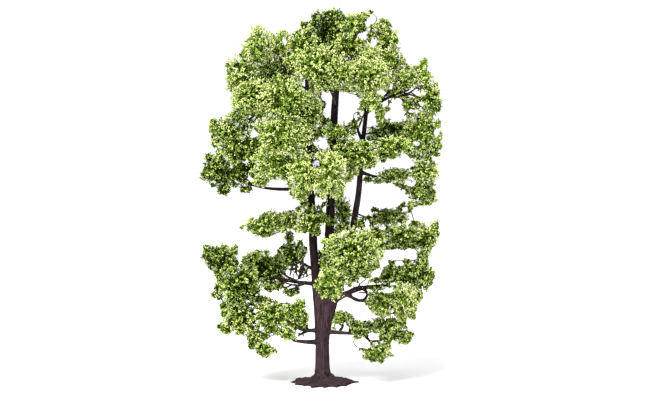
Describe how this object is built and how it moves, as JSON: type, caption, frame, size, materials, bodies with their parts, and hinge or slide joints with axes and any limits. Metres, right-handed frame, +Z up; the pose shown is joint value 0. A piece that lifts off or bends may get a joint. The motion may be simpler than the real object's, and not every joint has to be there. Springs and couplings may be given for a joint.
{
  "type": "model acacia tree",
  "caption": "Tabletop model acacia: a brown moulded trunk on a flat ragged root disc, with stems and boughs that carry clouds of green foam foliage.",
  "frame": {"origin": "centre of the root disc's flat underside, under the foot of the trunk", "axes": "+Z up the trunk, -Y towards the front, +X to the right seen from the front"},
  "size_m": [0.1226, 0.0886, 0.1902],
  "materials": {
    "bark": "moulded brown plastic with bark furrows, semi-matt",
    "root_disc": "moulded brown plastic with root ridges, brushed lighter on the ridges",
    "foliage": "foam flakes in mixed greens, matt"
  },
  "bodies": {
    "root": {"arm": "foliage", "band_bough": "bark", "canopy": "foliage", "canopy_right": "foliage", "centre_back": "foliage", "centre_front": "foliage", "centre_middle": "foliage", "centre_stem": "bark", "crown_back": "foliage", "crown_left": "foliage", "crown_right": "foliage", "crown_top": "foliage", "far_left": "foliage", "far_left_high": "foliage", "front_bough": "bark", "front_high": "foliage", "front_low": "foliage", "left_back": "foliage", "left_centre": "foliage", "left_edge": "foliage", "left_front": "foliage", "left_high_bough": "bark", "left_shoulder": "foliage", "left_stem": "bark", "long_left_bough": "bark", "low_back": "foliage", "low_left": "foliage", "low_left_bough": "bark", "low_left_inner": "foliage", "low_left_upper_bough": "bark", "low_right": "foliage", "low_right_bough": "bark", "mid_back": "foliage", "mid_left": "foliage", "mid_left_bough": "bark", "mid_left_upper_bough": "bark", "right_back": "foliage", "right_band": "foliage", "right_bough": "bark", "right_crown": "foliage", "right_edge": "foliage", "right_front": "foliage", "right_inner": "foliage", "right_low": "foliage", "right_low_front": "foliage", "right_lower_bough": "bark", "right_middle": "foliage", "right_middle_back": "foliage", "right_shoulder": "foliage", "right_stem": "bark", "right_tip": "foliage", "root_disc": "root_disc", "stem_front": "foliage", "top_right_bough": "bark", "trunk": "bark", "up_left_bough": "bark", "upper_left": "foliage", "upper_left_back": "foliage", "upper_left_bough": "bark", "upper_left_inner": "foliage"}
  },
  "joints": []
}
